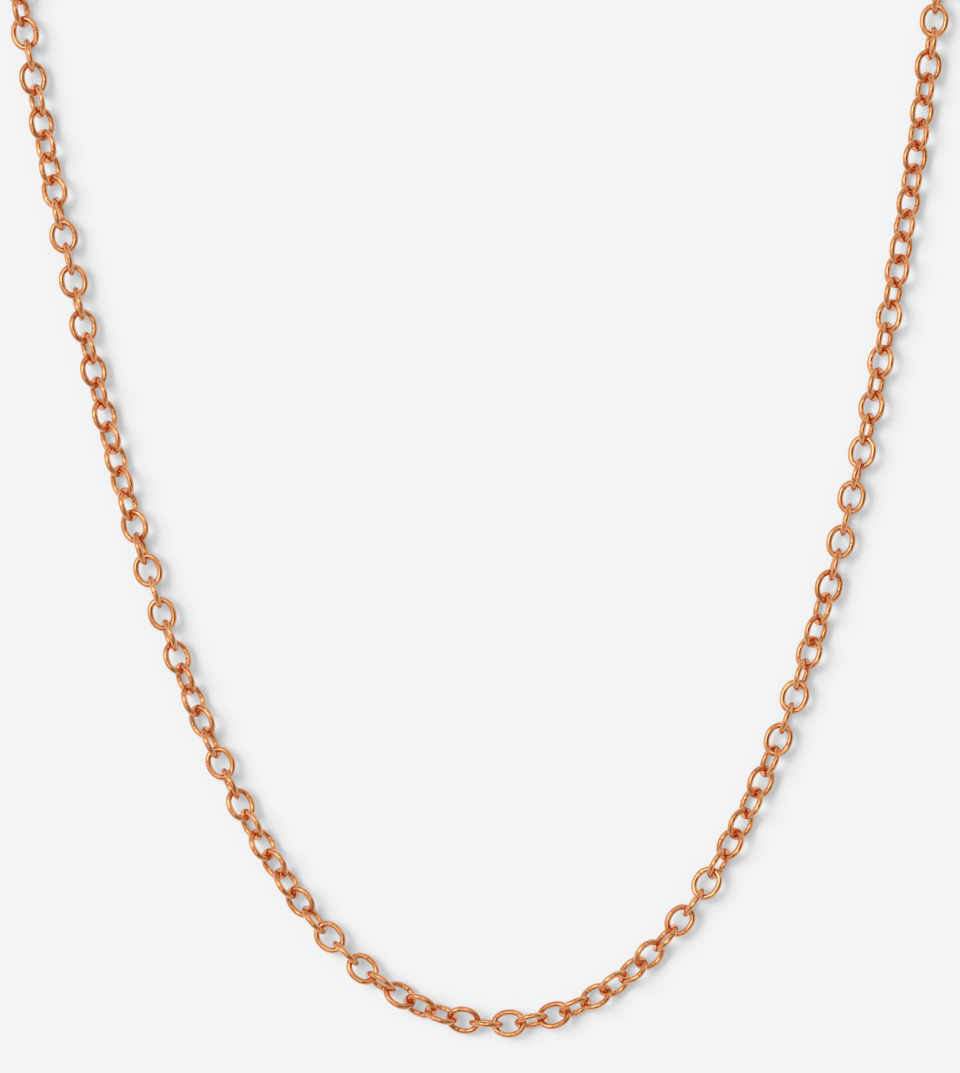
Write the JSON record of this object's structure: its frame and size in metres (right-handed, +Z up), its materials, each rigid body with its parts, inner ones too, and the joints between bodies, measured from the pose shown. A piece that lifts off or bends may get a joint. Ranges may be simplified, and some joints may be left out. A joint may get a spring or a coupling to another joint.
{
  "type": "chain necklace",
  "caption": "Fine oval-link cable chain necklace in polished rose gold, laid out unclasped in a U, with a lobster clasp on one end and a ring on the other.",
  "frame": {"origin": "on the table, under the middle of the whole necklace", "axes": "+Z up off the table; +Y from the bottom of the U towards its two open ends; +X towards the clasp's arm"},
  "size_m": [0.1484, 0.2128, 0.0042],
  "materials": {
    "chain_gold": "polished rose-gold tone",
    "fitting_gold": "polished rose-gold tone",
    "spring_steel": "bright spring wire"
  },
  "bodies": {
    "bottom": {"chain_run_bottom": "chain_gold"},
    "left_01": {"chain_run_left_01": "chain_gold"},
    "left_02": {"chain_run_left_02": "chain_gold"},
    "left_03": {"chain_run_left_03": "chain_gold"},
    "left_04": {"chain_run_left_04": "chain_gold"},
    "left_05": {"chain_run_left_05": "chain_gold"},
    "left_06": {"chain_run_left_06": "chain_gold"},
    "left_07": {"chain_run_left_07": "chain_gold"},
    "left_08": {"chain_run_left_08": "chain_gold"},
    "left_09": {"chain_run_left_09": "chain_gold"},
    "left_10": {"chain_run_left_10": "chain_gold"},
    "left_11": {"chain_run_left_11": "chain_gold"},
    "left_12": {"chain_run_left_12": "chain_gold"},
    "left_13": {"chain_run_left_13": "chain_gold"},
    "left_14": {"chain_run_left_14": "chain_gold"},
    "left_15": {"chain_run_left_15": "chain_gold"},
    "left_16": {"chain_run_left_16": "chain_gold"},
    "left_17": {"chain_run_left_17": "chain_gold"},
    "left_18": {"chain_run_left_18": "chain_gold"},
    "left_19": {"chain_run_left_19": "chain_gold"},
    "left_20": {"chain_run_left_20": "chain_gold"},
    "left_21": {"chain_run_left_21": "chain_gold"},
    "left_22": {"chain_run_left_22": "chain_gold"},
    "left_23": {"chain_run_left_23": "chain_gold"},
    "right_01": {"chain_run_right_01": "chain_gold"},
    "right_02": {"chain_run_right_02": "chain_gold"},
    "right_03": {"chain_run_right_03": "chain_gold"},
    "right_04": {"chain_run_right_04": "chain_gold"},
    "right_05": {"chain_run_right_05": "chain_gold"},
    "right_06": {"chain_run_right_06": "chain_gold"},
    "right_07": {"chain_run_right_07": "chain_gold"},
    "right_08": {"chain_run_right_08": "chain_gold"},
    "right_09": {"chain_run_right_09": "chain_gold"},
    "right_10": {"chain_run_right_10": "chain_gold"},
    "right_11": {"chain_run_right_11": "chain_gold"},
    "right_12": {"chain_run_right_12": "chain_gold"},
    "right_13": {"chain_run_right_13": "chain_gold"},
    "right_14": {"chain_run_right_14": "chain_gold"},
    "right_15": {"chain_run_right_15": "chain_gold"},
    "right_16": {"chain_run_right_16": "chain_gold"},
    "right_17": {"chain_run_right_17": "chain_gold"},
    "right_18": {"chain_run_right_18": "chain_gold"},
    "right_19": {"chain_run_right_19": "chain_gold"},
    "right_20": {"chain_run_right_20": "chain_gold"},
    "right_21": {"chain_run_right_21": "chain_gold"},
    "right_22": {"chain_run_right_22": "chain_gold"},
    "clasp_ring": {"clasp_jump_ring": "fitting_gold"},
    "clasp": {"clasp_body": "fitting_gold", "clasp_pivot_pin": "fitting_gold", "clasp_spring": "spring_steel"},
    "lever": {"clasp_lever": "fitting_gold"},
    "end_jump": {"end_jump_ring": "fitting_gold"},
    "end": {"end_ring": "fitting_gold"}
  },
  "joints": [
    {"name": "left_01_hook", "type": "hinge", "parent": "bottom", "child": "left_01", "pos_m": [0.00421, -0.1045, 0.00212], "axis": [-0.0039, -0.0522, 0.9986], "range_deg": [-30, 30]},
    {"name": "left_02_hook", "type": "hinge", "parent": "left_01", "child": "left_02", "pos_m": [-0.00515, -0.10276, 0.00212], "axis": [0.2963, 0.6454, 0.704], "range_deg": [-30, 30]},
    {"name": "left_03_hook", "type": "hinge", "parent": "left_02", "child": "left_03", "pos_m": [-0.01415, -0.09753, 0.00212], "axis": [-0.2151, -0.3017, -0.9288], "range_deg": [-30, 30]},
    {"name": "left_04_hook", "type": "hinge", "parent": "left_03", "child": "left_04", "pos_m": [-0.02098, -0.09085, 0.00212], "axis": [-0.7359, -0.6771, 0], "range_deg": [-30, 30]},
    {"name": "left_05_hook", "type": "hinge", "parent": "left_04", "child": "left_05", "pos_m": [-0.02669, -0.08317, 0.00212], "axis": [-0.5102, -0.3507, 0.7853], "range_deg": [-30, 30]},
    {"name": "left_06_hook", "type": "hinge", "parent": "left_05", "child": "left_06", "pos_m": [-0.03111, -0.07568, 0.00212], "axis": [0.8274, 0.4278, -0.3638], "range_deg": [-30, 30]},
    {"name": "left_07_hook", "type": "hinge", "parent": "left_06", "child": "left_07", "pos_m": [-0.03533, -0.0671, 0.00212], "axis": [0.2907, 0.1271, -0.9483], "range_deg": [-60, 60]},
    {"name": "left_08_hook", "type": "hinge", "parent": "left_07", "child": "left_08", "pos_m": [-0.03934, -0.05746, 0.00212], "axis": [-0.6641, -0.2636, 0.6997], "range_deg": [-60, 60]},
    {"name": "left_09_hook", "type": "hinge", "parent": "left_08", "child": "left_09", "pos_m": [-0.0426, -0.04846, 0.00212], "axis": [0.2059, 0.0719, 0.9759], "range_deg": [-60, 60]},
    {"name": "left_10_hook", "type": "hinge", "parent": "left_09", "child": "left_10", "pos_m": [-0.04554, -0.03933, 0.00212], "axis": [0.9545, 0.2982, 0], "range_deg": [-60, 60]},
    {"name": "left_11_hook", "type": "hinge", "parent": "left_10", "child": "left_11", "pos_m": [-0.04822, -0.03012, 0.00212], "axis": [0.5346, 0.1513, -0.8315], "range_deg": [-60, 60]},
    {"name": "left_12_hook", "type": "hinge", "parent": "left_11", "child": "left_12", "pos_m": [-0.05047, -0.02166, 0.00212], "axis": [-0.8241, -0.2077, 0.527], "range_deg": [-60, 60]},
    {"name": "left_13_hook", "type": "hinge", "parent": "left_12", "child": "left_13", "pos_m": [-0.05277, -0.01235, 0.00212], "axis": [0.3197, 0.0746, 0.9446], "range_deg": [-60, 60]},
    {"name": "left_14_hook", "type": "hinge", "parent": "left_13", "child": "left_14", "pos_m": [-0.05491, -0.00299, 0.00212], "axis": [0.9685, 0.2104, -0.1334], "range_deg": [-60, 60]},
    {"name": "left_15_hook", "type": "hinge", "parent": "left_14", "child": "left_15", "pos_m": [-0.05691, 0.00641, 0.00212], "axis": [0.2426, 0.0494, -0.9689], "range_deg": [-60, 60]},
    {"name": "left_16_hook", "type": "hinge", "parent": "left_15", "child": "left_16", "pos_m": [-0.05895, 0.01665, 0.00212], "axis": [-0.6693, -0.1308, 0.7314], "range_deg": [-60, 60]},
    {"name": "left_17_hook", "type": "hinge", "parent": "left_16", "child": "left_17", "pos_m": [-0.06072, 0.02609, 0.00212], "axis": [0.4426, 0.0817, 0.893], "range_deg": [-60, 60]},
    {"name": "left_18_hook", "type": "hinge", "parent": "left_17", "child": "left_18", "pos_m": [-0.0624, 0.03555, 0.00212], "axis": [0.9585, 0.1677, 0.2306], "range_deg": [-60, 60]},
    {"name": "left_19_hook", "type": "hinge", "parent": "left_18", "child": "left_19", "pos_m": [-0.06387, 0.04421, 0.00212], "axis": [-0.5451, -0.0893, -0.8336], "range_deg": [-60, 60]},
    {"name": "left_20_hook", "type": "hinge", "parent": "left_19", "child": "left_20", "pos_m": [-0.0654, 0.05369, 0.00212], "axis": [-0.9805, -0.1534, 0.1229], "range_deg": [-60, 60]},
    {"name": "left_21_hook", "type": "hinge", "parent": "left_20", "child": "left_21", "pos_m": [-0.06687, 0.06319, 0.00212], "axis": [-0.3287, -0.0492, 0.9432], "range_deg": [-60, 60]},
    {"name": "left_22_hook", "type": "hinge", "parent": "left_21", "child": "left_22", "pos_m": [-0.06827, 0.07269, 0.00212], "axis": [0.689, 0.0991, 0.7179], "range_deg": [-60, 60]},
    {"name": "left_23_hook", "type": "hinge", "parent": "left_22", "child": "left_23", "pos_m": [-0.06974, 0.08303, 0.00212], "axis": [-0.4414, -0.0619, -0.8952], "range_deg": [-60, 60]},
    {"name": "right_01_hook", "type": "hinge", "parent": "bottom", "child": "right_01", "pos_m": [0.01273, -0.10292, 0.00212], "axis": [-0.2121, 0.4726, 0.8554], "range_deg": [-30, 30]},
    {"name": "right_02_hook", "type": "hinge", "parent": "right_01", "child": "right_02", "pos_m": [0.02174, -0.09771, 0.00212], "axis": [-0.4047, 0.5646, 0.7193], "range_deg": [-30, 30]},
    {"name": "right_03_hook", "type": "hinge", "parent": "right_02", "child": "right_03", "pos_m": [0.02848, -0.09095, 0.00212], "axis": [-0.2358, 0.2099, -0.9489], "range_deg": [-30, 30]},
    {"name": "right_04_hook", "type": "hinge", "parent": "right_03", "child": "right_04", "pos_m": [0.034, -0.08315, 0.00212], "axis": [0.8192, -0.5328, 0.2122], "range_deg": [-30, 30]},
    {"name": "right_05_hook", "type": "hinge", "parent": "right_04", "child": "right_05", "pos_m": [0.03822, -0.07548, 0.00212], "axis": [0.5309, -0.2522, 0.809], "range_deg": [-30, 30]},
    {"name": "right_06_hook", "type": "hinge", "parent": "right_05", "child": "right_06", "pos_m": [0.04215, -0.06671, 0.00212], "axis": [-0.9305, 0.3663, 0], "range_deg": [-30, 30]},
    {"name": "right_07_hook", "type": "hinge", "parent": "right_06", "child": "right_07", "pos_m": [0.04553, -0.05771, 0.00212], "axis": [0.3346, -0.1121, -0.9356], "range_deg": [-60, 60]},
    {"name": "right_08_hook", "type": "hinge", "parent": "right_07", "child": "right_08", "pos_m": [0.0487, -0.04777, 0.00212], "axis": [0.7328, -0.2231, -0.6428], "range_deg": [-60, 60]},
    {"name": "right_09_hook", "type": "hinge", "parent": "right_08", "child": "right_09", "pos_m": [0.05128, -0.03848, 0.00212], "axis": [0.0337, -0.009, 0.9994], "range_deg": [-60, 60]},
    {"name": "right_10_hook", "type": "hinge", "parent": "right_09", "child": "right_10", "pos_m": [0.05358, -0.02911, 0.00212], "axis": [-0.9724, 0.2307, -0.0349], "range_deg": [-60, 60]},
    {"name": "right_11_hook", "type": "hinge", "parent": "right_10", "child": "right_11", "pos_m": [0.05565, -0.01969, 0.00212], "axis": [0.3822, -0.0814, -0.9205], "range_deg": [-60, 60]},
    {"name": "right_12_hook", "type": "hinge", "parent": "right_11", "child": "right_12", "pos_m": [0.05753, -0.01023, 0.00212], "axis": [0.8503, -0.1641, 0.5], "range_deg": [-60, 60]},
    {"name": "right_13_hook", "type": "hinge", "parent": "right_12", "child": "right_13", "pos_m": [0.05924, -0.00073, 0.00212], "axis": [-0.5621, 0.0989, 0.8211], "range_deg": [-60, 60]},
    {"name": "right_14_hook", "type": "hinge", "parent": "right_13", "child": "right_14", "pos_m": [0.06068, 0.00796, 0.00212], "axis": [-0.7992, 0.1256, 0.5878], "range_deg": [-60, 60]},
    {"name": "right_15_hook", "type": "hinge", "parent": "right_14", "child": "right_15", "pos_m": [0.06214, 0.01746, 0.00212], "axis": [-0.5476, 0.0795, -0.8329], "range_deg": [-60, 60]},
    {"name": "right_16_hook", "type": "hinge", "parent": "right_15", "child": "right_16", "pos_m": [0.0635, 0.02697, 0.00212], "axis": [0.9252, -0.1247, -0.3584], "range_deg": [-60, 60]},
    {"name": "right_17_hook", "type": "hinge", "parent": "right_16", "child": "right_17", "pos_m": [0.06475, 0.0365, 0.00212], "axis": [-0.1884, 0.0237, 0.9818], "range_deg": [-60, 60]},
    {"name": "right_18_hook", "type": "hinge", "parent": "right_17", "child": "right_18", "pos_m": [0.06593, 0.04604, 0.00212], "axis": [-0.7521, 0.0883, -0.6531], "range_deg": [-60, 60]},
    {"name": "right_19_hook", "type": "hinge", "parent": "right_18", "child": "right_19", "pos_m": [0.06712, 0.05641, 0.00212], "axis": [-0.4868, 0.0547, -0.8718], "range_deg": [-60, 60]},
    {"name": "right_20_hook", "type": "hinge", "parent": "right_19", "child": "right_20", "pos_m": [0.06815, 0.06596, 0.00212], "axis": [0.9944, -0.105, 0.0087], "range_deg": [-60, 60]},
    {"name": "right_21_hook", "type": "hinge", "parent": "right_20", "child": "right_21", "pos_m": [0.06911, 0.07552, 0.00212], "axis": [-0.5026, 0.0499, 0.8631], "range_deg": [-60, 60]},
    {"name": "right_22_hook", "type": "hinge", "parent": "right_21", "child": "right_22", "pos_m": [0.06995, 0.08427, 0.00212], "axis": [-0.9364, 0.0861, 0.3402], "range_deg": [-60, 60]},
    {"name": "clasp_ring_hook", "type": "hinge", "parent": "right_22", "child": "clasp_ring", "pos_m": [0.07089, 0.09466, 0.00212], "axis": [-0.9961, 0.0883, 0], "range_deg": [-30, 30]},
    {"name": "clasp_swing", "type": "hinge", "parent": "clasp_ring", "child": "clasp", "pos_m": [0.07107, 0.09673, 0.0013], "axis": [0, 0, 1], "range_deg": [-40, 40]},
    {"name": "lever_pivot", "type": "hinge", "parent": "clasp", "child": "lever", "pos_m": [0.07197, 0.10009, 0.0013], "axis": [0, 0, 1], "range_deg": [0, 20], "stiffness_Nm_per_rad": 0.01},
    {"name": "end_jump_hook", "type": "hinge", "parent": "left_23", "child": "end_jump", "pos_m": [-0.07104, 0.09255, 0.00212], "axis": [-0.991, -0.1338, 0], "range_deg": [-30, 30]},
    {"name": "end_ring_swing", "type": "hinge", "parent": "end_jump", "child": "end", "pos_m": [-0.07134, 0.09476, 0.00165], "axis": [-0.035, 0.259, 0.9652], "range_deg": [-30, 30]}
  ]
}
